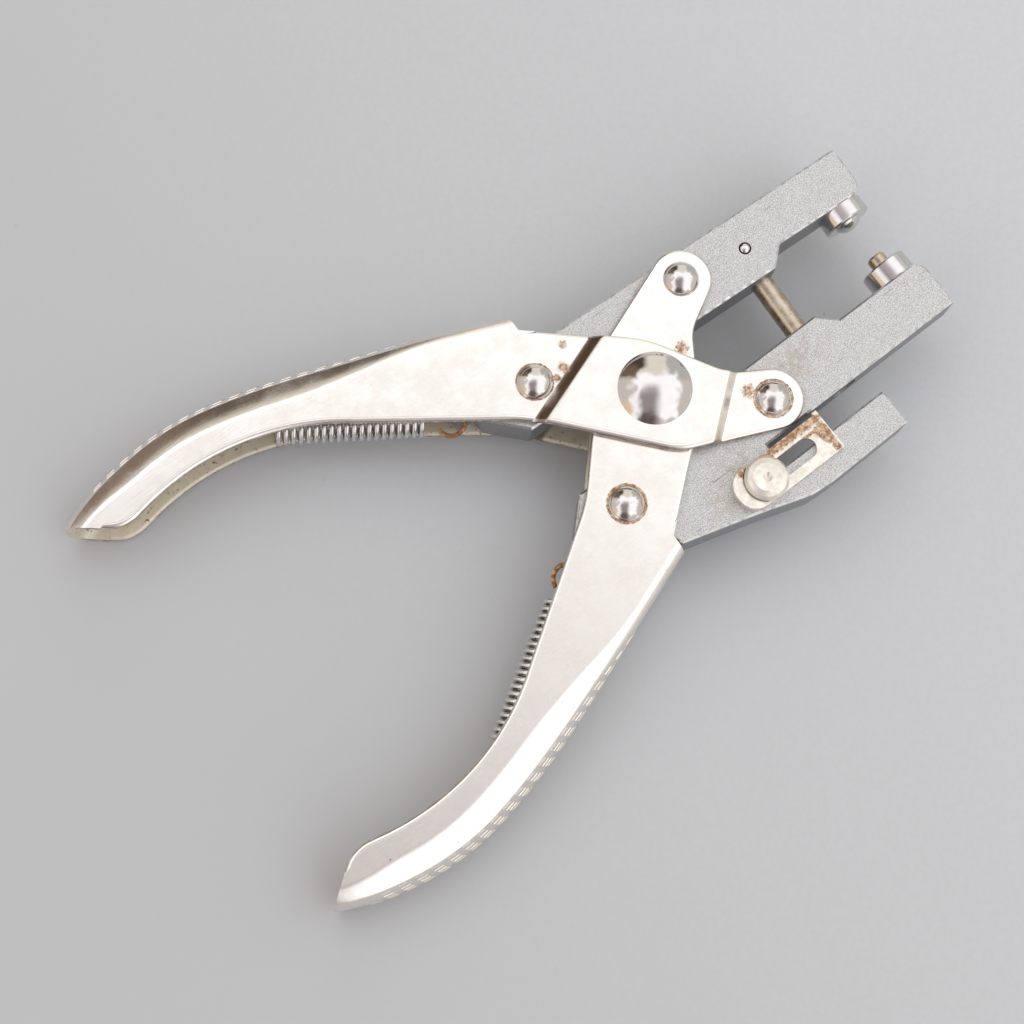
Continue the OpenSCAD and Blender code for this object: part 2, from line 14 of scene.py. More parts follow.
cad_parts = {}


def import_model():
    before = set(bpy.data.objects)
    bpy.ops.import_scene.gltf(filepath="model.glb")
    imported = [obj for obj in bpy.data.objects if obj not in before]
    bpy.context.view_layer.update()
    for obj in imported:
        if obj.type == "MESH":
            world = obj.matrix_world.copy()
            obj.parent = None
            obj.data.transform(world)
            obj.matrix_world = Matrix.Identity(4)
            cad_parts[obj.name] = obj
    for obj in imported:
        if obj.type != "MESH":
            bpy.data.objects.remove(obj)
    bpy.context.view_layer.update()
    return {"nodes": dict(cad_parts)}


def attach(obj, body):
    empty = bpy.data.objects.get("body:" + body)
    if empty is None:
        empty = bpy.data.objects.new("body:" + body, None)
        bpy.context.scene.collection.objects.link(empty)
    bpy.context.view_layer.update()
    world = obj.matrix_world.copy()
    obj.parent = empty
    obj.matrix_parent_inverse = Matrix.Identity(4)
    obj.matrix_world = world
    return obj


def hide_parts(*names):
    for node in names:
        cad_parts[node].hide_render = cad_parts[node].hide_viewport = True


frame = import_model()
nodes = frame["nodes"]

# Where the tool's frame lies in the row
MM = 0.001
MIDDLE = 22.922888
REST = 10.8

# Heights of the sheet metal and of the jaws, from the middle plane
CHEEK_IN = 4.9
SHEET = 1.4
CHEEK_OUT = CHEEK_IN + SHEET
JAW_Z = 4.8

# The linkage: length of its arms, their angles at both ends of the squeeze, and the jaws' toe-in
LINK = 22.13
OPEN_ANGLE = 39.8
CLOSED_ANGLE = 23.8
TOE = 1.6


def V(x, y):
    return Vector((x, y))


def polar(r, degrees):
    a = math.radians(degrees)
    return Vector((r * math.cos(a), r * math.sin(a)))


def cross(u, v):
    return u[0] * v[1] - u[1] * v[0]


def meet(p, u, q, v):
    """Where the line through p along u meets the line through q along v."""
    return p + u * (cross(q - p, v) / cross(u, v))


def arc(c, r, a, b, n):
    return [c + polar(r, a + (b - a) * i / n) for i in range(n + 1)]


def corner(p, q, s, r, n=8):
    """Points that round the corner at q between its neighbours p and s."""
    u, v = (p - q).normalized(), (s - q).normalized()
    half = math.acos(u.dot(v)) / 2
    c = q + (u + v).normalized() * (r / math.sin(half))
    first, last = q + u * (r / math.tan(half)) - c, q + v * (r / math.tan(half)) - c
    a = math.degrees(math.atan2(first[1], first[0]))
    turn = (math.degrees(math.atan2(last[1], last[0])) - a + 540) % 360 - 180
    return arc(c, r, a, a + turn, n)


def smooth(x, low=0.0, high=1.0):
    """Goes smoothly from 0 to 1 as x goes from low to high."""
    f = min(max((x - low) / (high - low), 0.0), 1.0)
    return f * f * (3 - 2 * f)


FRONT_A = polar(LINK, -OPEN_ANGLE)
REAR_A = -FRONT_A


def to_row(p):
    return Vector(((p[0] + MIDDLE) * MM, p[1] * MM, (p[2] + REST) * MM))


def flipped(p):
    """The point of handle B that matches one of handle A."""
    return V(p[0], -p[1])


def handle_place(side):
    """Matrix from handle A to the handle on a side: 1 for A, -1 for B."""
    return Matrix.Diagonal((1, side, 1, 1))


def jaw_place(side):
    """Matrix from a jaw's own frame to the tool's frame: side is 1 for the upper, -1 for the lower."""
    at = Matrix.Translation((FRONT_A[0], -FRONT_A[1], 0)) @ Matrix.Rotation(math.radians(-TOE), 4, "Z")
    return Matrix.Diagonal((1, side, 1, 1)) @ at


# Meshes


def as_object(name, bm, materials, place=Matrix.Identity(4)):
    """Turns a bmesh in tool millimetres into an object in row metres."""
    bm.transform(place)
    if place.determinant() < 0:
        bmesh.ops.reverse_faces(bm, faces=bm.faces)
    bm.transform(Matrix.Scale(MM, 4) @ Matrix.Translation((MIDDLE, 0, REST)))
    mesh = bpy.data.meshes.new(name)
    bm.to_mesh(mesh)
    bm.free()
    for m in materials:
        mesh.materials.append(m)
    obj = bpy.data.objects.new(name, mesh)
    bpy.context.scene.collection.objects.link(obj)
    return obj


def finish_shading(obj, degrees=40):
    """Smooth shading with sharp edges above an angle."""
    obj.data.shade_smooth()
    obj.data.set_sharp_from_angle(angle=math.radians(degrees))
    obj.modifiers.new("weighted", "WEIGHTED_NORMAL").keep_sharp = True


def inset(outline, d):
    """A counterclockwise outline moved inward by d. Its sharp corners move at most 2.5 times as far."""
    n = len(outline)
    result = []
    for i in range(n):
        a, b, c = outline[i - 1], outline[i], outline[(i + 1) % n]
        u, v = (b - a).normalized(), (c - b).normalized()
        m = (V(-u[1], u[0]) + V(-v[1], v[0])).normalized()
        result.append(b + m * (d / max(m.dot(V(-u[1], u[0])), 0.4)))
    return result


def area(outline):
    return sum(cross(outline[i - 1], outline[i]) for i in range(len(outline))) / 2


def clean(outline, least=0.02):
    """The outline counterclockwise, without points that are almost on their neighbours."""
    kept = [outline[0]]
    for p in outline[1:]:
        if (p - kept[-1]).length > least:
            kept.append(p)
    if (kept[0] - kept[-1]).length <= least:
        kept.pop()
    return kept if area(kept) > 0 else kept[::-1]


def chamfer(size):
    """The rim of a slab with a plain chamfer."""
    return ((size, 0), (0, size))


def skin(bm, rings):
    """Closes rings of vertices into a solid, and gives the faces of each band between two rings."""
    n = len(rings[0])
    bands = []
    for a, b in zip(rings, rings[1:]):
        pairs = [(i, (i + 1) % n) for i in range(n)]
        bands.append([bm.faces.new((a[i], a[j], b[j], b[i])) for i, j in pairs])
    bm.faces.new(rings[0][::-1])
    bm.faces.new(rings[-1])
    return bands


def prism(outline, low, high, rim, rim_material=0):
    """A slab between two heights, whose rims follow pairs that say how far in and down they lie."""
    outline = clean(outline)
    bm = bmesh.new()
    levels = [(d, low + h) for d, h in rim] + [(d, high - h) for d, h in reversed(rim)]
    bands = skin(bm, [[bm.verts.new((*p, z)) for p in inset(outline, d)] for d, z in levels])
    side = len(rim) - 1
    for band in bands[:side] + bands[side + 1:]:
        for face in band:
            face.material_index = rim_material
    return bm


def merge(bm, other, matrix):
    """Adds the second bmesh to the first, moved by a matrix."""
    other.transform(matrix)
    if matrix.determinant() < 0:
        bmesh.ops.reverse_faces(other, faces=other.faces)
    mesh = bpy.data.meshes.new("scratch")
    other.to_mesh(mesh)
    other.free()
    bm.from_mesh(mesh)
    bpy.data.meshes.remove(mesh)


def everything(bm):
    return bm.verts[:] + bm.edges[:] + bm.faces[:]


def cut_plane(bm, point, normal):
    """Cuts away what lies on the side of the plane that the normal points to, and closes the cut."""
    out = bmesh.ops.bisect_plane(
        bm, geom=everything(bm), plane_co=point, plane_no=normal, clear_outer=True
    )
    edges = [e for e in out["geom_cut"] if isinstance(e, bmesh.types.BMEdge)]
    bmesh.ops.edgeloop_fill(bm, edges=edges)


def lathe(profile, segments=32):
    """A solid turned about Z from (radius, height) pairs, of which the first and last are on the axis."""
    bm = bmesh.new()
    rings = []
    for r, z in profile:
        if r < 1e-6:
            rings.append([bm.verts.new((0, 0, z))])
        else:
            rings.append([bm.verts.new((*polar(r, 360 * i / segments), z)) for i in range(segments)])
    for a, b in zip(rings, rings[1:]):
        for i in range(segments):
            j = (i + 1) % segments
            if len(a) == 1 and len(b) > 1:
                bm.faces.new((a[0], b[j], b[i]))
            elif len(b) == 1 and len(a) > 1:
                bm.faces.new((a[i], a[j], b[0]))
            elif len(a) > 1:
                bm.faces.new((a[i], a[j], b[j], b[i]))
    bmesh.ops.recalc_face_normals(bm, faces=bm.faces)
    return bm


def tube(path, radius, sides=10):
    """A round tube along a path, with frames carried from ring to ring."""
    bm = bmesh.new()
    last = len(path) - 1
    normal = Vector((0.3, 0.2, 0.9))
    rings = []
    for i, p in enumerate(path):
        t = (path[min(i + 1, last)] - path[max(i - 1, 0)]).normalized()
        normal = (normal - t * normal.dot(t)).normalized()
        b = t.cross(normal)
        around = [2 * math.pi * k / sides for k in range(sides)]
        rings.append([bm.verts.new(p + radius * (normal * math.cos(a) + b * math.sin(a))) for a in around])
    skin(bm, rings)
    bmesh.ops.recalc_face_normals(bm, faces=bm.faces)
    return bm


def join(obj, other):
    """Adds the other object's mesh to the first one's."""
    bm = bmesh.new()
    bm.from_mesh(obj.data)
    bm.from_mesh(other.data)
    bm.to_mesh(obj.data)
    bm.free()
    bpy.data.objects.remove(other)


def carve(obj, cutters):
    """Cuts the cutters out of the object and removes them."""
    for c in cutters:
        m = obj.modifiers.new("cut", "BOOLEAN")
        m.operation, m.solver, m.object = "DIFFERENCE", "EXACT", c
    bpy.context.view_layer.update()
    graph = bpy.context.evaluated_depsgraph_get()
    mesh = bpy.data.meshes.new_from_object(obj.evaluated_get(graph))
    obj.modifiers.clear()
    obj.data = mesh
    for c in cutters:
        bpy.data.objects.remove(c)


# Materials


class Nodes:
    """The node tree of a material or a world. Most calls add a node and give its output."""

    def __init__(self, owner):
        owner.use_nodes = True
        self.tree = owner.node_tree
        self.tree.nodes.clear()

    def node(self, kind, inputs=(), **values):
        n = self.tree.nodes.new(kind)
        for key, value in values.items():
            setattr(n, key, value)
        for key, value in dict(inputs).items():
            self.put(n.inputs[key], value)
        return n

    def put(self, socket, value):
        """Links a socket to the value or stores it there."""
        if isinstance(value, bpy.types.NodeSocket):
            self.tree.links.new(value, socket)
        else:
            if socket.type == "RGBA" and len(value) == 3:
                value = (*value, 1)
            socket.default_value = value

    def math(self, op, *values, clamp=False):
        return self.node("ShaderNodeMath", enumerate(values), operation=op, use_clamp=clamp).outputs[0]

    def chain(self, op, result, *values):
        for v in values:
            result = self.math(op, result, v)
        return result

    def plus(self, *values):
        return self.chain("ADD", *values)

    def minus(self, a, b):
        return self.math("SUBTRACT", a, b)

    def times(self, *values):
        return self.chain("MULTIPLY", *values)

    def most(self, *values):
        return self.chain("MAXIMUM", *values)

    def size(self, a):
        return self.math("ABSOLUTE", a)

    def vector(self, op, *values):
        return self.node("ShaderNodeVectorMath", enumerate(values), operation=op).outputs["Vector"]

    def measure(self, op, a, b):
        return self.node("ShaderNodeVectorMath", {0: a, 1: b}, operation=op).outputs["Value"]

    def xyz(self, source):
        return self.node("ShaderNodeSeparateXYZ", {0: source}).outputs

    def ramp(self, value, low, high, a=0.0, b=1.0):
        """Goes smoothly from a to b as the value goes from low to high."""
        n = self.node(
            "ShaderNodeMapRange",
            {"Value": value, "From Min": low, "From Max": high, "To Min": a, "To Max": b},
            interpolation_type="SMOOTHSTEP",
        )
        return n.outputs[0]

    def mix(self, fac, a, b):
        """Colour a where fac is 0 and b where it is 1."""
        n = self.node("ShaderNodeMix", data_type="RGBA")
        self.put(n.inputs[0], fac)
        self.put(n.inputs[6], a)
        self.put(n.inputs[7], b)
        return n.outputs[2]


class Paint(Nodes):
    """A procedural material whose pattern sticks to the piece's own coordinates, in metres."""

    sockets = {"color": "Base Color", "metal": "Metallic", "rough": "Roughness", "bump": "Normal"}

    def __init__(self, name):
        self.mat = bpy.data.materials.new(name)
        super().__init__(self.mat)
        self.bsdf = self.node("ShaderNodeBsdfPrincipled")
        self.node("ShaderNodeOutputMaterial", {0: self.bsdf.outputs[0]})
        coord = self.node("ShaderNodeTexCoord")
        self.place, self.normal = coord.outputs["Object"], coord.outputs["Normal"]

    def noise(self, scale, detail=3.0, rough=0.55, stretch=None, turn=0.0):
        where = self.place
        if stretch:
            where = self.node(
                "ShaderNodeMapping",
                {"Vector": where, "Rotation": (0, 0, math.radians(turn)), "Scale": stretch},
            ).outputs[0]
        n = self.node(
            "ShaderNodeTexNoise", {"Vector": where, "Scale": scale, "Detail": detail, "Roughness": rough}
        )
        return n.outputs["Fac"]

    def spots(self, scale, radius, patches, detail, level):
        """Round spots from a sharp to a soft radius, in the patches where a coarse noise passes a level."""
        cells = self.node("ShaderNodeTexVoronoi", {"Vector": self.place, "Scale": scale}).outputs["Distance"]
        return self.times(
            self.ramp(cells, *radius, 1.0, 0.0),
            self.ramp(self.noise(patches, detail), *level),
        )

    def away(self, p):
        """Distance in metres from the upright line through p."""
        flat = self.vector("MULTIPLY", self.place, (1, 1, 0))
        c = to_row((p[0], p[1], 0))
        return self.measure("DISTANCE", flat, (c.x, c.y, 0))

    def near(self, p, low, high):
        """1 within low millimetres of the upright line through p, 0 beyond high."""
        return self.ramp(self.away(p), low * MM, high * MM, 1.0, 0.0)

    def ring(self, p, r, width):
        """1 at r millimetres from the upright line through p, 0 beyond a width from there."""
        off = self.size(self.minus(self.away(p), r * MM))
        return self.ramp(off, 0.15 * width * MM, width * MM, 1.0, 0.0)

    def near_line(self, a, b, w):
        """1 near the line from a to b in the lower jaw's frame, 0 beyond w millimetres."""
        place = jaw_place(-1)
        a, b = to_row(place @ Vector((*a, 0))), to_row(place @ Vector((*b, 0)))
        d = b - a
        flat = self.vector("MULTIPLY", self.place, (1, 1, 0))
        off = self.vector("SUBTRACT", flat, (a.x, a.y, 0))
        t = self.measure("DOT_PRODUCT", off, (d.x, d.y, 0))
        t = self.math("DIVIDE", t, d.x * d.x + d.y * d.y, clamp=True)
        spot = self.node("ShaderNodeCombineXYZ", {0: self.times(t, d.x), 1: self.times(t, d.y)}).outputs[0]
        return self.ramp(self.measure("DISTANCE", off, spot), 0.2 * w * MM, w * MM, 1.0, 0.0)

    def bump(self, height, strength, distance):
        n = self.node("ShaderNodeBump", {"Strength": strength, "Distance": distance, "Height": height})
        return n.outputs[0]

    def set(self, **values):
        for key, value in values.items():
            self.put(self.bsdf.inputs[self.sockets[key]], value)
        return self.mat


NICKEL, NICKEL_WORN = (0.90, 0.87, 0.83), (0.84, 0.80, 0.76)
STAIN, STAIN_PALE, STAIN_SPECK = (0.64, 0.57, 0.44), (0.90, 0.86, 0.74), (0.26, 0.17, 0.10)
DIRT, BARE_RIM, FRECKLE = (0.20, 0.14, 0.10), (0.24, 0.14, 0.09), (0.25, 0.15, 0.08)
RUST, RUST_PALE, RUST_DARK = (0.46, 0.21, 0.07), (0.66, 0.44, 0.23), (0.20, 0.09, 0.04)
PLATE_RUST = (0.46, 0.23, 0.08)
MIRROR, MIRROR_WORN, MIRROR_PIT = (0.72, 0.70, 0.69), (0.64, 0.62, 0.61), (0.22, 0.16, 0.12)
GRAIN_DARK, GRAIN_PALE, GRAIN_PATCH = (0.35, 0.35, 0.355), (0.83, 0.83, 0.83), (0.76, 0.76, 0.75)
BLAST_PIT, BLAST_SCRATCH = (0.07, 0.055, 0.045), (0.10, 0.09, 0.08)
# The second tone is the dark colour of the jaws' ground sides and ends: painted shade
BLAST_STAIN, GROUND_SIDE_SHADE = (0.38, 0.29, 0.16), (0.17, 0.19, 0.23)
EDGE, EDGE_WORN = (0.88, 0.88, 0.88), (0.55, 0.55, 0.56)
TAN, TAN_PALE, TAN_PIT = (0.46, 0.37, 0.27), (0.60, 0.53, 0.44), (0.12, 0.07, 0.04)
CREAM, CREAM_WORN = (0.93, 0.89, 0.83), (0.80, 0.74, 0.66)
WIRE_PALE, WIRE_DULL = (0.84, 0.84, 0.85), (0.66, 0.65, 0.64)


def rusty(p, color, rough, mask, rust=RUST, strength=1.0):
    """Lays broken rust over a colour where the mask is: gives colour, roughness and the rust's own mask."""
    grain = p.noise(1900, 5, 0.75)
    broken = p.ramp(p.plus(p.times(mask, strength, 0.55), grain), 0.80, 1.12)
    tone = p.mix(p.noise(3200, 3, 0.6), RUST_DARK, rust)
    tone = p.mix(p.ramp(p.noise(900, 2), 0.45, 0.65), tone, RUST_PALE)
    return p.mix(broken, color, tone), p.most(rough, p.times(broken, 0.75)), broken


def joggle_dirt(p, direction, at, w):
    """Dirt on the slope of a joggle, thickest at its upper end."""
    d = polar(1, direction)
    from_rivet = p.vector("SUBTRACT", p.place, (MIDDLE * MM, 0, 0))
    along = p.measure("DOT_PRODUCT", from_rivet, (d[0], d[1], 0))
    start = p.ramp(along, (at - 0.5) * MM, (at + 0.4) * MM)
    fade = p.ramp(along, (at + 1.2) * MM, (at + w) * MM, 1.0, 0.25)
    end = p.ramp(along, (at + w) * MM, (at + w + 0.3) * MM, 1.0, 0.0)
    return p.times(start, fade, end)


def nickel(name, rings=(), patches=(), side=1, soiled=None):
    """Bright nickel plate on a handle: worn, stained inside, with rust at its rivets.

    Rings of rust have a middle, a radius and a width, and patches a middle and a radius. The
    side is 1 on handle A and -1 on handle B. Soiled is the joggle whose slope holds dirt.
    """
    p = Paint(name)
    wear = p.noise(260, 3, 0.6)
    fine = p.noise(2600, 2, 0.5)
    color = p.mix(p.ramp(wear, 0.35, 0.7), NICKEL, NICKEL_WORN)
    rough = p.ramp(p.plus(p.times(wear, 0.7), p.times(fine, 0.3)), 0.3, 0.75, 0.16, 0.30)

    # Stained inner faces of the cheeks and of the web
    height = p.minus(p.xyz(p.place)["Z"], REST * MM)
    level = p.size(height)
    facing = p.xyz(p.normal)
    facing_in = p.ramp(p.times(height, facing["Z"]), -1.2 * MM, -3.0 * MM)
    inward = p.times(facing["Y"], -side)
    web = p.times(p.ramp(inward, 0.25, 0.5), p.ramp(level, 4.8 * MM, 5.2 * MM, 1.0, 0.0))
    inner = p.most(facing_in, web)
    stain = p.mix(p.noise(500, 4, 0.6), STAIN, STAIN_PALE)
    stain = p.mix(p.ramp(p.noise(1100, 3, 0.6), 0.60, 0.72), stain, STAIN_SPECK)
    color = p.mix(inner, color, stain)
    rough = p.most(rough, p.times(inner, 0.55))
    if soiled:
        color = p.mix(p.times(joggle_dirt(p, *soiled), 0.85), color, DIRT)

    # Cut edges of the sheet are brown where the plate has worn through
    upright = p.ramp(p.size(facing["Z"]), 0.25, 0.75, 1.0, 0.0)
    rim = p.times(upright, p.ramp(level, 4.7 * MM, 5.2 * MM), p.ramp(inward, -0.9, 0.1))
    brown = p.times(rim, p.ramp(p.noise(700, 3, 0.6), 0.35, 0.6))
    color = p.mix(p.times(brown, 0.75), color, BARE_RIM)
    rough = p.most(rough, p.times(brown, 0.5))

    # Rust and freckles
    mask = p.most(0.0, *[p.ring(*r) for r in rings], *[p.near(c, 0.2, r) for c, r in patches])
    mask = p.times(mask, p.ramp(level, 5.5 * MM, 6.1 * MM))
    color, rough, broken = rusty(p, color, rough, mask)
    color = p.mix(p.spots(420, (0.035, 0.065), 170, 2, (0.58, 0.66)), color, FRECKLE)

    metal = p.minus(1.0, p.most(p.times(broken, 0.95), p.times(inner, 0.45)))
    scratch = p.noise(240, 2, 0.6, stretch=(1, 22, 22), turn=8 * side)
    waves = p.noise(90, 2)
    relief = p.plus(p.times(fine, 0.25), p.times(scratch, 0.5), p.times(waves, 2.2), p.times(broken, 0.5))
    return p.set(color=color, rough=rough, metal=metal, bump=p.bump(relief, 0.16, 0.12 * MM))


def polished(name, rough=0.05):
    """Mirror-bright steel with a few pits."""
    p = Paint(name)
    color = p.mix(p.noise(500, 3, 0.6), MIRROR, MIRROR_WORN)
    pits = p.spots(900, (0.05, 0.1), 300, 2, (0.55, 0.65))
    color = p.mix(pits, color, MIRROR_PIT)
    haze = p.ramp(p.noise(900, 3, 0.6), 0.35, 0.75, rough, rough + 0.07)
    haze = p.most(haze, p.times(pits, 0.5))
    relief = p.plus(p.noise(350, 2), p.times(pits, -0.4))
    return p.set(color=color, rough=haze, metal=1.0, bump=p.bump(relief, 0.05, 0.1 * MM))


def blasted(name, stains):
    """Nickel plate over sand-blasted steel: fine grain, dark pits, a few long scratches and stains, and
    painted shade on the sides.
    """
    p = Paint(name)
    grain = p.noise(5200, 2, 0.7)
    color = p.mix(p.ramp(grain, 0.36, 0.66), GRAIN_DARK, GRAIN_PALE)
    color = p.mix(p.times(p.ramp(p.noise(1500, 3, 0.6), 0.42, 0.72), 0.3), color, GRAIN_PATCH)
    pits = p.spots(1000, (0.07, 0.13), 240, 3, (0.56, 0.66))
    color = p.mix(pits, color, BLAST_PIT)
    lines = p.ramp(p.noise(110, 3, 0.65, stretch=(1, 16, 16), turn=-6), 0.64, 0.70)
    lines = p.times(lines, p.ramp(p.noise(140, 2), 0.5, 0.6))
    color = p.mix(p.times(lines, 0.6), color, BLAST_SCRATCH)
    smear = p.most(*[p.near(c, 0.1 * r, r) for c, r in stains])
    smear = p.times(smear, p.ramp(p.noise(420, 4, 0.65), 0.42, 0.62))
    color = p.mix(p.times(smear, 0.42), color, BLAST_STAIN)
    # The sides and ends are ground and dull, and their dark colour is painted shade
    upright = p.ramp(p.size(p.xyz(p.normal)["Z"]), 0.2, 0.6, 0.6, 0.0)
    color = p.mix(upright, color, GROUND_SIDE_SHADE)
    rough = p.ramp(grain, 0.3, 0.7, 0.42, 0.60)
    metal = p.ramp(smear, 0.0, 1.0, 0.82, 0.3)
    relief = p.minus(p.plus(grain, p.times(pits, -0.9)), p.times(lines, 0.5))
    return p.set(color=color, rough=rough, metal=metal, bump=p.bump(relief, 0.55, 0.06 * MM))


def bright_edge(name):
    """Edges that handling keeps bright."""
    p = Paint(name)
    worn = p.noise(900, 3, 0.6)
    color = p.mix(p.ramp(worn, 0.4, 0.65), EDGE, EDGE_WORN)
    return p.set(color=color, rough=p.ramp(worn, 0.3, 0.7, 0.22, 0.42), metal=1.0)


def tan_steel(name):
    """Smooth steel with a tan film and brown pits."""
    p = Paint(name)
    band = p.noise(420, 4, 0.6)
    color = p.mix(p.ramp(band, 0.35, 0.68), TAN, TAN_PALE)
    pits = p.spots(1300, (0.1, 0.2), 500, 3, (0.45, 0.6))
    color = p.mix(p.times(pits, 0.85), color, TAN_PIT)
    rough = p.most(p.ramp(band, 0.3, 0.7, 0.20, 0.38), p.times(pits, 0.6))
    return p.set(color=color, rough=rough, metal=0.95, bump=p.bump(p.minus(band, pits), 0.2, 0.05 * MM))


def cream(name, rust_lines=()):
    """Dull nickel with a cream cast, and rust along lines given by two ends and a width."""
    p = Paint(name)
    tone = p.noise(700, 3, 0.6)
    color = p.mix(p.ramp(tone, 0.35, 0.7), CREAM, CREAM_WORN)
    rough = p.ramp(tone, 0.3, 0.7, 0.36, 0.52)
    metal = 0.85
    if rust_lines:
        mask = p.most(*[p.near_line(*line) for line in rust_lines])
        color, rough, broken = rusty(p, color, rough, mask, rust=PLATE_RUST)
        metal = p.minus(metal, p.times(broken, 0.8))
    return p.set(color=color, rough=rough, metal=metal, bump=p.bump(p.noise(3000, 2), 0.2, 0.04 * MM))


def wire_steel(name, hooks):
    """Bright drawn wire whose hooks are rusty."""
    p = Paint(name)
    color = p.mix(p.noise(900, 3), WIRE_PALE, WIRE_DULL)
    rough = p.ramp(p.noise(1200, 2), 0.3, 0.7, 0.22, 0.36)
    mask = p.most(*[p.near(c, 0.6 * r, r) for c, r in hooks])
    color, rough, broken = rusty(p, color, rough, mask, strength=1.3)
    return p.set(color=color, rough=rough, metal=p.minus(1.0, p.times(broken, 0.9)))


# Handles: everything is drawn for handle A, and handle B mirrors it

# The spine runs straight from the shoulder, then through two bends. Slopes rise away from the jaws.
SHOULDER = V(-13.6, 27.5)
SPINE_SLOPE = 21.5
STRAIGHT = 34.8
BEND_1_R, BEND_1_SLOPE = 140.0, 12.0
BEND_2_R, TIP_SLOPE = 52.0, -27.0
SPINE_DIR = polar(1, 180 - SPINE_SLOPE)
SPINE_IN = polar(1, 270 - SPINE_SLOPE)
BEND_1 = SHOULDER + SPINE_DIR * STRAIGHT + SPINE_IN * BEND_1_R
BEND_1_LEN = BEND_1_R * math.radians(SPINE_SLOPE - BEND_1_SLOPE)
BEND_2 = BEND_1 + polar(BEND_1_R - BEND_2_R, 90 - BEND_1_SLOPE)
SPINE_LEN = STRAIGHT + BEND_1_LEN + BEND_2_R * math.radians(BEND_1_SLOPE - TIP_SLOPE)
TIP = BEND_2 + polar(BEND_2_R, 90 - TIP_SLOPE)
TIP_CUT = 38.3

# The cheek's front line, from its crossing with the neck towards the shoulder, and how far inside
# it the bend is trimmed
CROSSING = V(4.4, 8.6)
FRONT_SLOPE = 40.7
FRONT_DIR = polar(1, 180 - FRONT_SLOPE)
TRIM = 0.12

# The round bend at the shoulder, and the bend over the palm: from and to tilt, radius and steps
SHOULDER_R = 2.3
PALM_BEND = ((90, 50, 6.45, 7), (50, 34, 0.9, 4), (34, 20, 16.0, 4), (20, 0, 3.0, 4))
# Stations where the palm's bend sets in and is full, and where and how much it shrinks at the tip
PALM_STARTS, PALM_FULL = 12, 44
TIP_STARTS, TIP_FULL, TIP_LESS = 76, 93, 0.55

# How far past the bend the cheek's slab starts, how far the swept sheet laps over it, and how
# far the slab lies under the sheet outside and over it inside
SEAM_AFTER, LAP = 0.8, 1.3
UNDER, OVER = 0.004, 0.01

# How far in and down the rolled rim of a cheek lies, from its flat face to its side
RIM = (
    (1.12, 0), (0.98, 0.045), (0.84, 0.02), (0.62, 0.03),
    (0.40, 0.09), (0.2, 0.22), (0.06, 0.42), (0, 0.65),
)

# The palm's arc: radius, and angles of its front and rear ends
PALM_R, PALM_FRONT, PALM_REAR = 49.0, 52.4, 101.0
# Corners of the cheek's outline, and the radii that round them
PALM_START, ELBOW, HEEL_POINT, NECK = V(-48.4, 27.2), V(-22.8, 9.4), V(-3.4, -12.2), V(12.8, -5)
TIP_R, ELBOW_R, HEEL_R, NECK_R, CROSSING_R = 7.3, 30, 12, 8, 20
# The round end of the front lug: radius, and the angles between which it runs
LUG_R, LUG_FROM, LUG_TO = 5.8, -112.3, 60

# Handle A's joggles: direction from the main rivet, distance and width of each slope
RAMPS = ((110.7, 13.3, 2.3), (-49.9, 12.65, 1.6))
RAISE = SHEET + 0.1

# Rows of the knurl on each side of the middle one, and where its dashes lie along the spine
ROWS, ROW_GAP, STAGGER = 4, 1.04, 0.4
KNURL_FROM, KNURL_TO, DASH_PITCH = 17.5, 86, 3.4
# Length, width and lift of a dash at its foot, at the surface and at its top
DASH = ((2.0, 0.42, -0.1), (2.0, 0.42, 0.0), (1.75, 0.24, 0.1))


def spine(s):
    """Point on the spine of handle A at station s, and the angle of its outward normal."""
    if s < STRAIGHT:
        return SHOULDER + SPINE_DIR * s, 90 - SPINE_SLOPE
    if s < STRAIGHT + BEND_1_LEN:
        a = 90 - SPINE_SLOPE + math.degrees((s - STRAIGHT) / BEND_1_R)
        return BEND_1 + polar(BEND_1_R, a), a
    a = 90 - BEND_1_SLOPE + math.degrees((s - STRAIGHT - BEND_1_LEN) / BEND_2_R)
    return BEND_2 + polar(BEND_2_R, a), a


def bend(s):
    """Outer face of the bend at station s, from web to cheek: depth, height and tilt of each point.

    It is a plain round at the shoulder. Over the palm a crease parts it from a wide sloping band.
    """
    palm = smooth(s, PALM_STARTS, PALM_FULL) * (1 - TIP_LESS * smooth(s, TIP_STARTS, TIP_FULL))
    depth, z = 0.0, 0.0
    points = [(depth, z, 90)]
    for first, last, r, steps in PALM_BEND:
        for i in range(steps):
            a, b = (math.radians(first + (last - first) * k / steps) for k in (i, i + 1))
            depth, z = depth + r * (math.sin(a) - math.sin(b)), z + r * (math.cos(b) - math.cos(a))
            points.append((depth, z, math.degrees(b)))
    lift = CHEEK_OUT - z
    result = []
    for depth, z, tilt in points:
        a = math.radians(tilt)
        plain = V(SHOULDER_R * (1 - math.sin(a)), CHEEK_OUT - SHOULDER_R * (1 - math.cos(a)))
        result.append((*plain.lerp(V(depth, z + lift), palm), tilt))
    return result


def bend_depth(s):
    return bend(s)[-1][0]


def seam_depth(s):
    """Where the cheek's slab starts under the swept sheet."""
    return bend_depth(s) + SEAM_AFTER


def section(s, out):
    """Half of the sheet's outer or inner face, from the middle of the web to the flange: depth and height."""
    depth, flange = bend_depth(s), seam_depth(s) + LAP
    if out:
        return [V(d, z) for d, z, tilt in bend(s)] + [V(flange, CHEEK_OUT)]
    r, z = depth - SHEET, CHEEK_IN + OVER
    return arc(V(depth, z - r), r, 180, 90, 10) + [V(flange, z)]


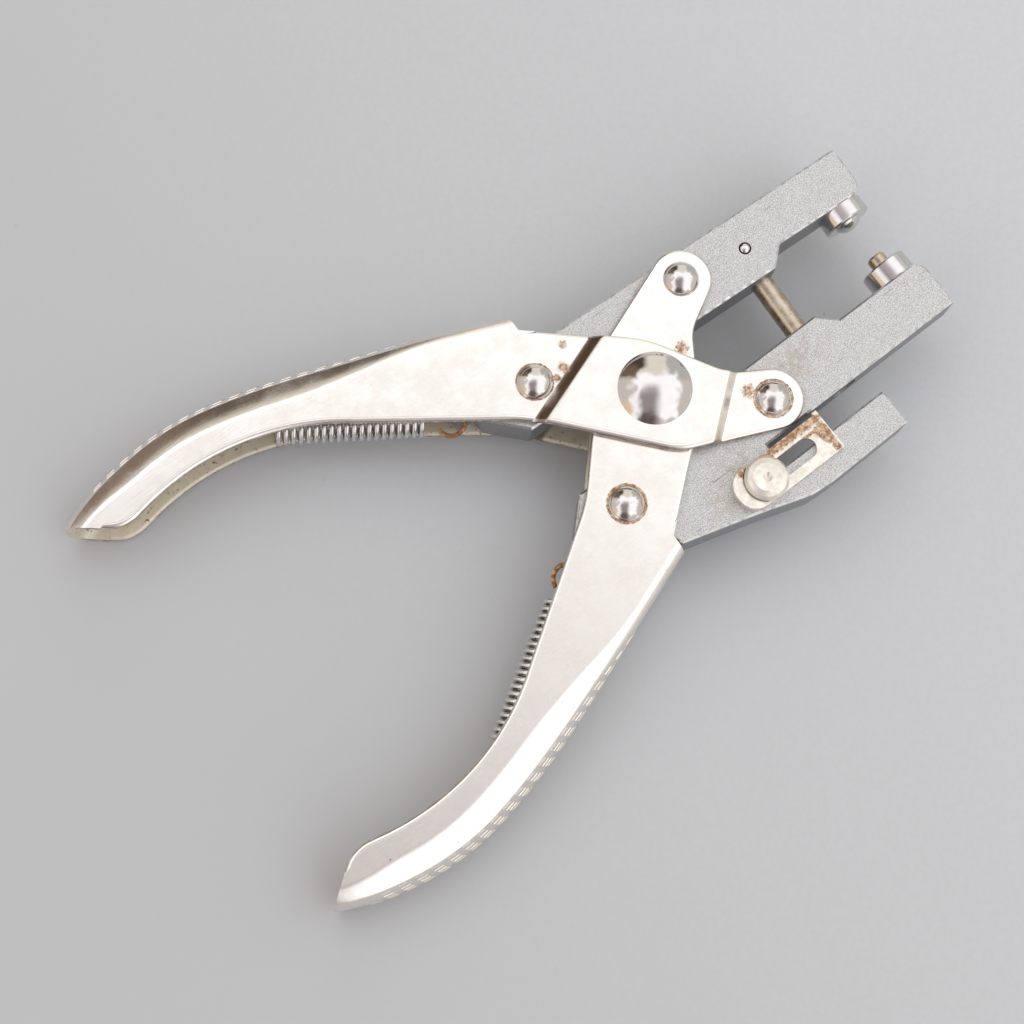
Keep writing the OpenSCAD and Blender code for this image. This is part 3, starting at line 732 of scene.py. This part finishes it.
def surface(s, u, lift):
    """Point over the outer face at station s and distance u along the section from its middle."""
    points = [(0.0, 0.0, 90)] + bend(s)
    left = abs(u)
    for (d0, z0, t0), (d1, z1, t1) in zip(points, points[1:]):
        length = math.hypot(d1 - d0, z1 - z0)
        if left <= length:
            break
        left -= length
    f = left / max(length, 1e-6)
    tilt = math.radians(t0 + (t1 - t0) * f)
    depth = d0 + (d1 - d0) * f - lift * math.sin(tilt)
    z = z0 + (z1 - z0) * f + lift * math.cos(tilt)
    p, a = spine(s)
    q = p - polar(depth, a)
    return Vector((q[0], q[1], math.copysign(z, u) if u else 0.0))


def sweep():
    """The bent sheet along the spine, cut off at the tip."""
    before, beyond, step = 15.0, 7, 1.0
    bm = bmesh.new()
    rings = []
    s = -before
    while s < SPINE_LEN + beyond:
        half_out, half_in = section(s, True), section(s, False)
        loop = [flipped(q) for q in reversed(half_out)] + half_out
        loop += list(reversed(half_in)) + [flipped(q) for q in half_in]
        p, a = spine(s)
        rings.append([bm.verts.new((*(p - polar(q[0], a)), q[1])) for q in loop])
        s += step
    skin(bm, rings)
    bmesh.ops.recalc_face_normals(bm, faces=bm.faces)
    d = polar(1, -TIP_CUT)
    cut_plane(bm, (*TIP, 0), (d[1], -d[0], 0))
    return bm


def front_cutter():
    """What trims the bend ahead of the shoulder, just inside the cheek's own front line."""
    far, half_height = 60, 9
    trim = CROSSING + polar(TRIM, 270 - FRONT_SLOPE)
    behind = meet(trim, FRONT_DIR, SHOULDER, V(0, 1))
    outline = [behind, trim - FRONT_DIR * far, V(far, far), V(SHOULDER[0], far)]
    return prism(outline, -half_height, half_height, chamfer(0.01))


def cheek_outline():
    """From the tip along the palm to the heel, the front lug and the neck, and back along the seam."""
    palm_c = PALM_START - polar(PALM_R, PALM_FRONT)
    palm_end = palm_c + polar(PALM_R, PALM_REAR)
    tip_dir = polar(1, -TIP_CUT)
    skew = math.radians(90 + TIP_SLOPE - TIP_CUT)
    tip_seam = TIP + tip_dir * (seam_depth(SPINE_LEN) / math.cos(skew))
    tip_corner = meet(TIP, tip_dir, palm_end, polar(1, PALM_REAR + 90))
    lug_rear, lug_front = FRONT_A + polar(LUG_R, LUG_FROM), FRONT_A + polar(LUG_R, LUG_TO)
    seam_front = meet(CROSSING, FRONT_DIR, SHOULDER + SPINE_IN * seam_depth(0), SPINE_DIR)
    first, before_tip, step = 8.0, 6, 3.0
    seam = []
    s = first
    while s < SPINE_LEN - before_tip:
        p, a = spine(s)
        seam.append(p - polar(seam_depth(s), a))
        s += step
    return (
        [tip_seam]
        + corner(tip_seam, tip_corner, palm_end, TIP_R)
        + arc(palm_c, PALM_R, PALM_REAR, PALM_FRONT, 30)
        + corner(PALM_START, ELBOW, HEEL_POINT, ELBOW_R, 10)
        + corner(ELBOW, HEEL_POINT, lug_rear, HEEL_R)
        + arc(FRONT_A, LUG_R, LUG_FROM, LUG_TO, 32)
        + corner(lug_front, NECK, CROSSING, NECK_R, 10)
        + corner(NECK, CROSSING, seam_front, CROSSING_R)
        + [seam_front]
        + seam
    )


def raised(x, y):
    """Lift of handle A's cheek: full at the main rivet, none beyond the joggles."""
    f = 1.0
    for direction, at, w in RAMPS:
        d = V(x, y).dot(polar(1, direction))
        t = min(max((at + w - d) / w, 0.0), 1.0)
        f = min(f, 0.8 * t + 0.2 * smooth(t))
    return RAISE * f


def cheek(joggled):
    """One cheek with its lugs. Where it is joggled, its slopes are cut into narrow strips and bent."""
    bm = prism(cheek_outline(), CHEEK_IN, CHEEK_OUT - UNDER, RIM)
    if joggled:
        for direction, at, w in RAMPS:
            n = polar(1, direction)
            for i in range(-2, 11):
                point = n * (at + w * i / 8)
                bmesh.ops.bisect_plane(bm, geom=everything(bm), plane_co=(*point, 0), plane_no=(*n, 0))
        for v in bm.verts:
            v.co.z += raised(v.co.x, v.co.y)
    return bm


def handle(name, body, side, joggled, node, material):
    """A handle's bent sheet and its two cheeks, in one piece."""
    place = handle_place(side)
    obj = as_object(name, sweep(), [material], place)
    carve(obj, [as_object("cutter", front_cutter(), [], place)])
    cheeks = cheek(joggled)
    merge(cheeks, cheek(joggled), Matrix.Diagonal((1, 1, -1, 1)))
    join(obj, as_object("cheeks", cheeks, [material], place))
    finish_shading(obj, 50)
    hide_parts(node)
    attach(obj, body)


def knurl(name, body, side, material):
    """Rows of short raised dashes over the grip."""
    bm = bmesh.new()
    corners = ((-1, -1), (1, -1), (1, 1), (-1, 1))
    for row in range(-ROWS, ROWS + 1):
        s = KNURL_FROM + STAGGER * abs(row)
        u = ROW_GAP * row
        while s < KNURL_TO:
            skin(bm, [
                [bm.verts.new(surface(s + ds * length / 2, u + du * width / 2, lift)) for ds, du in corners]
                for length, width, lift in DASH
            ])
            s += DASH_PITCH
    bmesh.ops.recalc_face_normals(bm, faces=bm.faces)
    obj = as_object(name, bm, [material], handle_place(side))
    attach(obj, body)


# Jaws: both share their inner edge, drawn in the jaw's own frame with its lug rivet as the origin

# Inner edge: reach of the nose, depth of the throat and of the heel, and the step between them
REACH, THROAT, HEEL = 39.6, 4.5, 7.85
STEP_X, STEP_RUN = 16.6, 3.4
# Radius of the nose's inner corner, and of the relief round the spacer sleeve
NOSE_R, RELIEF = 2.6, 4.15
# Outer edges, and the tail with the tongue that holds a spring's hook
UPPER_EDGE, LOWER_EDGE = 5.1, 6.0
TAIL, TAIL_LOW, TAIL_RUN = 46.0, 1.3, 6.6
TONGUE_LEN, TONGUE_W, TONGUE_Y = 3.5, 3.2, 1.2
# The lower jaw's fork and finger, and the back of the fork as far as the tail
FORK_X, FORK_GAP = -6.0, 5.1
FINGER_REACH, FINGER_W = 17.7, 7.4
FORK_BACK = [V(-1.0, 18.8), V(-5.5, 18.4), V(-15.4, 15.2), V(-30.0, 11.0), V(-33.4, UPPER_EDGE)]
# Chamfer of both jaws, and where the cross pin goes through the upper one
JAW_CHAMFER = 0.4
CROSS_PIN = (13.9, -1.55)


def from_jaw(p, angle, toe):
    """A point of the tool's frame, seen from a jaw whose arm and toe-in have these angles."""
    d = Vector(p) - polar(LINK, angle)
    c, s = math.cos(math.radians(toe)), math.sin(math.radians(toe))
    return V(d[0] * c - d[1] * s, d[0] * s + d[1] * c)


def inner_edge():
    """From the tongue to the nose, with a relief that clears the spacer sleeve over the whole squeeze."""
    hub_open, hub = from_jaw((0, 0), OPEN_ANGLE, TOE), from_jaw((0, 0), CLOSED_ANGLE, 0)
    left = 180 - math.degrees(math.asin((-HEEL - hub[1]) / RELIEF))
    along = (hub - hub_open).normalized()
    right = V(along[1], -along[0])
    turn = math.degrees(math.atan2(right[1], right[0]))
    leave = meet(hub + right * RELIEF, along, V(0, -HEEL), V(1, 0))
    return (
        [V(-TAIL - TONGUE_LEN, TONGUE_Y), V(-TAIL, TONGUE_Y), V(-TAIL, -TAIL_LOW), V(-TAIL + TAIL_RUN, -HEEL)]
        + arc(hub, RELIEF, left, turn, 14)
        + [leave, V(STEP_X, -HEEL), V(STEP_X + STEP_RUN, -THROAT)]
        + corner(V(0, -THROAT), V(REACH, -THROAT), V(REACH, 0), NOSE_R)
    )


def tail_end():
    """The rear of both jaws, from the outer edge to the tongue."""
    tongue_top = TONGUE_Y + TONGUE_W
    return [V(-TAIL, UPPER_EDGE), V(-TAIL, tongue_top), V(-TAIL - TONGUE_LEN, tongue_top)]


def lower_outline():
    """The lower jaw with its fork, whose finger reaches towards the nose."""
    fork_out = LOWER_EDGE + FORK_GAP
    finger_out = fork_out + FINGER_W
    fork = [
        V(REACH, LOWER_EDGE), V(FORK_X, LOWER_EDGE), V(FORK_X, fork_out),
        V(FINGER_REACH, fork_out), V(FINGER_REACH, finger_out),
    ]
    return inner_edge() + fork + FORK_BACK + tail_end()


def across(x, y):
    """A matrix whose Z runs from the outer edge of a jaw to the inner one, at x and y."""
    return Matrix.Translation((x, y, 0)) @ Matrix.Rotation(math.radians(90), 4, "X")


def through(x, y):
    """A matrix whose Z runs from the far face of a jaw to the near one, at x and y."""
    return Matrix.Translation((x, y, 0))


def jaw(name, body, side, outline, node, materials, bores):
    """A jaw's slab with its bores, given by radius, length and matrix."""
    place = jaw_place(side)
    obj = as_object(name, prism(outline, -JAW_Z, JAW_Z, chamfer(JAW_CHAMFER), 1), materials, place)
    cutters = []
    for r, length, matrix in bores:
        rod = lathe([(0, -length / 2), (r, -length / 2), (r, length / 2), (0, length / 2)])
        cutters.append(as_object("cutter", rod, [], place @ matrix))
    carve(obj, cutters)
    finish_shading(obj, 25)
    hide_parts(node)
    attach(obj, body)


# Springs

# The coil, with its start ahead of the hook's middle, and the radii of the hook, rear loop and wire
COIL_R, PITCH, TURNS, COIL_START = 2.3, 1.4, 20, 4.9
HOOK_R, REAR_R, WIRE = 2.7, 2.1, 0.475
# Where the hook's turn starts and how far a loop turns, and how far the coil and the loop turn
# while one goes over into the other
HOOK_FROM, LOOP_TURN = -31, 259
COIL_LEAD, LOOP_LEAD = 120, 70
LOOP_STEPS, LEAD_STEPS, COIL_STEPS = 24, 10, 20
# How far the hook's bow lies ahead of the tongue's middle
HOOK_AHEAD = 0.27
# The peg that holds the rear loop: its depth under the spine and its angle about the second bend
PEG_DEPTH, PEG_ANGLE = 5.3, 79.2
PEG = BEND_2 + polar(BEND_2_R - PEG_DEPTH, PEG_ANGLE)


def hook_middle():
    """Middle of the front hook, which holds on to the tongue of the upper jaw's tail."""
    tongue = V(-TAIL - TONGUE_LEN / 2, TONGUE_Y + TONGUE_W / 2)
    c, s = math.cos(math.radians(TOE)), math.sin(math.radians(TOE))
    return V(
        FRONT_A[0] + tongue[0] * c + tongue[1] * s + HOOK_AHEAD - HOOK_R,
        -FRONT_A[1] - tongue[0] * s + tongue[1] * c,
    )


def coil(degrees):
    """Point of the coil after a turn. The coil's axis is X."""
    t = math.radians(degrees)
    return Vector((COIL_START + PITCH * degrees / 360, COIL_R * math.cos(t), COIL_R * math.sin(t)))


def loop(at, r, degrees):
    """Point of a flat loop after a turn. The loop's middle is at a distance along X."""
    t = math.radians(degrees)
    return Vector((at + r * math.cos(t), r * math.sin(t), 0))


def spring_path():
    """Hook, coil and rear loop along X, laid from the tongue to the peg."""
    hook = hook_middle()
    pull, along = (PEG - hook).length, (PEG - hook).normalized()
    hook_to = HOOK_FROM - LOOP_TURN
    rear_from = 180 - LOOP_LEAD
    leads = [i / LEAD_STEPS for i in range(1, LEAD_STEPS)]
    parts = [i / LOOP_STEPS for i in range(LOOP_STEPS + 1)]
    path = [loop(0, HOOK_R, HOOK_FROM - LOOP_TURN * f) for f in parts]
    for f in leads:
        path.append(loop(0, HOOK_R, hook_to - LOOP_LEAD * f).lerp(coil(COIL_LEAD * (f - 1)), smooth(f)))
    path += [coil(360 * i / COIL_STEPS) for i in range(TURNS * COIL_STEPS + 1)]
    for f in leads:
        end = loop(pull, REAR_R, 180 - LOOP_LEAD * f)
        path.append(coil(360 * TURNS + COIL_LEAD * f).lerp(end, smooth(f)))
    path += [loop(pull, REAR_R, rear_from - LOOP_TURN * f) for f in parts]
    side = V(along[1], -along[0])
    return [Vector((*(hook + along * q[0] + side * q[1]), q[2])) for q in path]


# Building the pieces


def paint(name, material):
    """Gives a CAD piece its material."""
    mesh = nodes[name].data
    mesh.materials.clear()
    mesh.materials.append(material)


def build_handles():
    nickel_a = nickel(
        "nickel_a",
        rings=[(REAR_A, 3.45, 0.45), (FRONT_A, 3.6, 0.45)],
        patches=[(V(-8.6, 16.8), 2.0), (V(-11.0, 13.2), 2.8), (V(-13.2, 12.3), 1.8), (V(14.0, -10.4), 3.4)],
        soiled=RAMPS[0],
    )
    nickel_b = nickel(
        "nickel_b", rings=[(flipped(REAR_A), 3.55, 0.7)], patches=[(V(9.1, 3.4), 3.4)], side=-1
    )
    handle("handle_a_sheet", "handle_a", 1, True, "handle_a_shell", nickel_a)
    handle("handle_b_sheet", "handle_b", -1, False, "handle_b_shell", nickel_b)
    dash = nickel("nickel_dash")
    knurl("knurl_a", "handle_a", 1, dash)
    knurl("knurl_b", "handle_b", -1, dash)


def build_jaws():
    edge = bright_edge("bright_edge")
    upper = blasted("blasted_upper", stains=[(V(11.5, 17.0), 4.5)])
    lower = blasted(
        "blasted_lower",
        stains=[(V(25.5, -9.5), 7.5), (V(20, -13), 8), (V(-2.0, -24.0), 5.0), (V(4, -21), 7)],
    )
    upper_outline = inner_edge() + [V(REACH, UPPER_EDGE)] + tail_end()
    rod_bore, pin_bore = (2.2, 8.8, across(13.9, -3.45)), (1.2, 12.0, through(*CROSS_PIN))
    slide_bore, screw_bore = (2.7, 17.0, across(13.6, -1.0)), (1.7, 12.0, through(-10.9, 11.1))
    jaw("upper_jaw_body", "upper_jaw", 1, upper_outline, "upper_jaw_bar", [upper, edge],
        [rod_bore, pin_bore])
    jaw("lower_jaw_body", "lower_jaw", -1, lower_outline(), "lower_jaw_bar", [lower, edge],
        [slide_bore, screw_bore])


def build_springs(wire):
    path = spring_path()
    for name, body, side, node in (
        ("spring_a", "handle_a", 1, "return_spring_a"),
        ("spring_b", "handle_b", -1, "return_spring_b"),
    ):
        obj = as_object(name, tube(path, WIRE), [wire], handle_place(side))
        obj.data.shade_smooth()
        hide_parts(node)
        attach(obj, body)


def build_pins(dome, sleeve):
    """Pegs and cross pin, turned from the upper half of their profile."""
    half_peg = [(1.2, 0), (1.2, 5.5), (1.15, 5.6), (0, 5.6)]
    half_pin = [(1.0, 0), (1.0, 4.7), (0.86, 4.92), (0.5, 5.06), (0, 5.1)]
    peg_a = Matrix.Translation((*PEG, 0))
    for name, body, half, place, material, node in (
        ("peg_a", "handle_a", half_peg, peg_a, sleeve, "spring_peg_a"),
        ("peg_b", "handle_b", half_peg, handle_place(-1) @ peg_a, sleeve, "spring_peg_b"),
        ("pin", "upper_jaw", half_pin, jaw_place(1) @ through(*CROSS_PIN), dome, "cross_pin"),
    ):
        profile = [(r, -z) for r, z in reversed(half)] + half[1:]
        obj = as_object(name, lathe(profile), [material], place)
        finish_shading(obj)
        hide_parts(node)
        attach(obj, body)


def build():
    build_handles()
    build_jaws()
    hook = hook_middle()
    wire = wire_steel("wire", [(hook, 5.2), (flipped(hook), 5.2), (PEG, 3.4), (flipped(PEG), 3.4)])
    build_springs(wire)
    dome = polished("dome")
    for name in ("main_rivet", "lug_rivet_a", "lug_rivet_b", "rear_pin_a", "rear_pin_b"):
        paint(name, dome)
    for name in ("upper_die", "lower_die"):
        paint(name, polished("die_" + name, rough=0.12))
    sleeve = polished("sleeve", rough=0.3)
    paint("spacer_sleeve", sleeve)
    build_pins(dome, sleeve)
    rod = tan_steel("rod")
    for name in ("guide_rod", "pilot_pin"):
        paint(name, rod)
    paint("pilot_spring", wire)
    paint("slide_plate", cream("plate", rust_lines=[
        ((-14, 7.6), (4.0, 7.6), 2.0), ((3.9, 7.6), (3.9, 14.5), 1.7),
        ((2.6, 9.6), (3.6, 12.6), 1.9), ((-12, 9.4), (2, 9.4), 0.7),
    ]))
    paint("thumb_screw", cream("knob"))


# Floor, light and camera

# The tool lies on its rivet's dome and its handle tips, so its floor slopes in the row: the
# floor's height at the rivet, its slope along X and half its width
FLOOR_Z, FLOOR_TILT, FLOOR_HALF = -10.81, 0.0438, 2500
# The floor's tones at its left and right: the paler right is painted light
FLOOR_SHADED_LEFT, FLOOR_LIT_RIGHT = (0.505, 0.515, 0.530), (0.635, 0.658, 0.690)
FLOOR_CLOUD, FLOOR_GRAIN, FLOOR_SPECK = (0.56, 0.572, 0.59), (0.50, 0.50, 0.505), (0.42, 0.38, 0.33)

# The room is laid out in the circle of the main rivet's dome, by two axes, a scale and a shift
DOME_RIGHT, DOME_UP = Vector((0.8056, -0.5914, 0.0371)), Vector((0.5738, 0.7942, 0.1997))
DOME_SCALE, DOME_SHIFT = 1.374, (0.034, -0.1885)
TOWARD = (DOME_RIGHT.cross(DOME_UP) - 0.0645 * DOME_RIGHT - 0.056 * DOME_UP).normalized()
# Its own tone, and its areas: left, right, low and high ends in radii of the dome, softness and colour
ROOM_TONE = (0.80, 0.73, 0.67)
ROOM = (
    (-2.0, -0.42, -2.0, -0.38, 0.08, (1.0, 0.78, 0.56)),
    (0.34, 2.0, 0.22, 2.0, 0.07, (0.62, 0.62, 0.57)),
    (-0.37, 0.36, 0.30, 2.0, 0.07, (1.03, 0.97, 0.86)),
    (-0.56, 0.67, -0.86, 0.34, 0.09, (1.44, 1.44, 1.45)),
    (-2.0, -0.36, 0.26, 2.0, 0.09, (0.22, 0.155, 0.11)),
    (-2.0, -0.19, 0.60, 2.0, 0.11, (0.10, 0.07, 0.05)),
    (-0.24, 0.14, -0.30, 0.06, 0.13, (0.68, 0.64, 0.64)),
    (-0.38, 0.12, -1.0, -0.10, 0.16, (0.42, 0.36, 0.37)),
    (-0.40, 0.10, -2.0, -0.68, 0.15, (0.17, 0.13, 0.12)),
)
# Size and strength of the wavering of the areas' edges, and how far from the middle it sets in
WAVER_SCALE, WAVER, WAVER_FROM, WAVER_SOFT = 4.5, 0.55, 0.28, 0.14

# The camera: its focal length in pixels of the picture, its turn as a rotation vector, and its place
PICTURE, FOCAL = 1024, 2200
FILM = 36
CAMERA_TURN = Vector((-0.18269093, 0.09941529, 0.62726652))
CAMERA_AT = (-94.0897, -59.0984, 398.7884)


def floor():
    """A grey surface with soft clouds, fine grain and a few specks, paler towards the right as painted light.
    """
    p = Paint("floor")
    fine = p.noise(900, 3, 0.6)
    here = p.xyz(p.place)
    rightward = p.plus(p.times(here["X"], 0.81), p.times(here["Y"], -0.15))
    # Painted light: the floor's colour grows paler towards the right
    color = p.mix(p.ramp(rightward, -0.10, 0.13), FLOOR_SHADED_LEFT, FLOOR_LIT_RIGHT)
    color = p.mix(p.times(p.noise(9, 3, 0.5), 0.3), color, FLOOR_CLOUD)
    color = p.mix(p.times(p.ramp(fine, 0.3, 0.7), 0.18), color, FLOOR_GRAIN)
    specks = p.spots(90, (0.02, 0.045), 25, 2, (0.60, 0.66))
    color = p.mix(p.times(specks, 0.5), color, FLOOR_SPECK)
    material = p.set(color=color, rough=0.62, bump=p.bump(fine, 0.1, 0.1 * MM))
    bm = bmesh.new()
    for x, y in ((-1, -1), (1, -1), (1, 1), (-1, 1)):
        bm.verts.new((x * FLOOR_HALF, y * FLOOR_HALF, FLOOR_Z - FLOOR_TILT * x * FLOOR_HALF))
    bm.faces.new(bm.verts)
    as_object("floor", bm, [material])


def world():
    """A pale room: directions are told apart by where the main rivet's dome mirrors them."""
    w = bpy.data.worlds.new("room")
    bpy.context.scene.world = w
    room = Nodes(w)
    ray = room.node("ShaderNodeTexCoord").outputs["Generated"]
    half = room.vector("NORMALIZE", room.vector("ADD", ray, TOWARD))
    waver = room.node("ShaderNodeTexNoise", {"Vector": half, "Scale": WAVER_SCALE, "Detail": 1.0})
    waver = room.xyz(room.vector("SUBTRACT", waver.outputs["Color"], (0.5, 0.5, 0.5)))
    places = []
    for axis, shift, by in zip((DOME_RIGHT, DOME_UP), DOME_SHIFT, waver):
        straight = room.math("MULTIPLY_ADD", room.measure("DOT_PRODUCT", half, axis), DOME_SCALE, shift)
        amount = room.ramp(room.size(straight), WAVER_FROM - WAVER_SOFT, WAVER_FROM + WAVER_SOFT)
        places.append(room.math("MULTIPLY_ADD", room.times(amount, by), WAVER, straight))

    def between(value, low, high, soft):
        rise, fall = room.ramp(value, low - soft, low + soft), room.ramp(value, high + soft, high - soft)
        return room.times(rise, fall)

    color = ROOM_TONE
    for left, right, low, high, soft, tone in ROOM:
        mask = room.times(between(places[0], left, right, soft), between(places[1], low, high, soft))
        color = room.mix(mask, color, tone)
    back = room.node("ShaderNodeBackground", {"Color": color, "Strength": 1.0}).outputs[0]
    room.node("ShaderNodeOutputWorld", {"Surface": back})


def camera():
    """The camera of the photograph, and the view transform that shows colours as they are."""
    cam = bpy.data.cameras.new("camera")
    cam.lens, cam.sensor_width, cam.sensor_fit = FILM * FOCAL / PICTURE, FILM, "HORIZONTAL"
    cam.clip_start = 0.01
    obj = bpy.data.objects.new("camera", cam)
    bpy.context.scene.collection.objects.link(obj)
    obj.rotation_mode = "QUATERNION"
    obj.rotation_quaternion = Quaternion(CAMERA_TURN.normalized(), CAMERA_TURN.length).inverted()
    obj.location = to_row(CAMERA_AT)
    bpy.context.scene.camera = obj
    bpy.context.scene.view_settings.view_transform = "Standard"


build()
floor()
world()
camera()
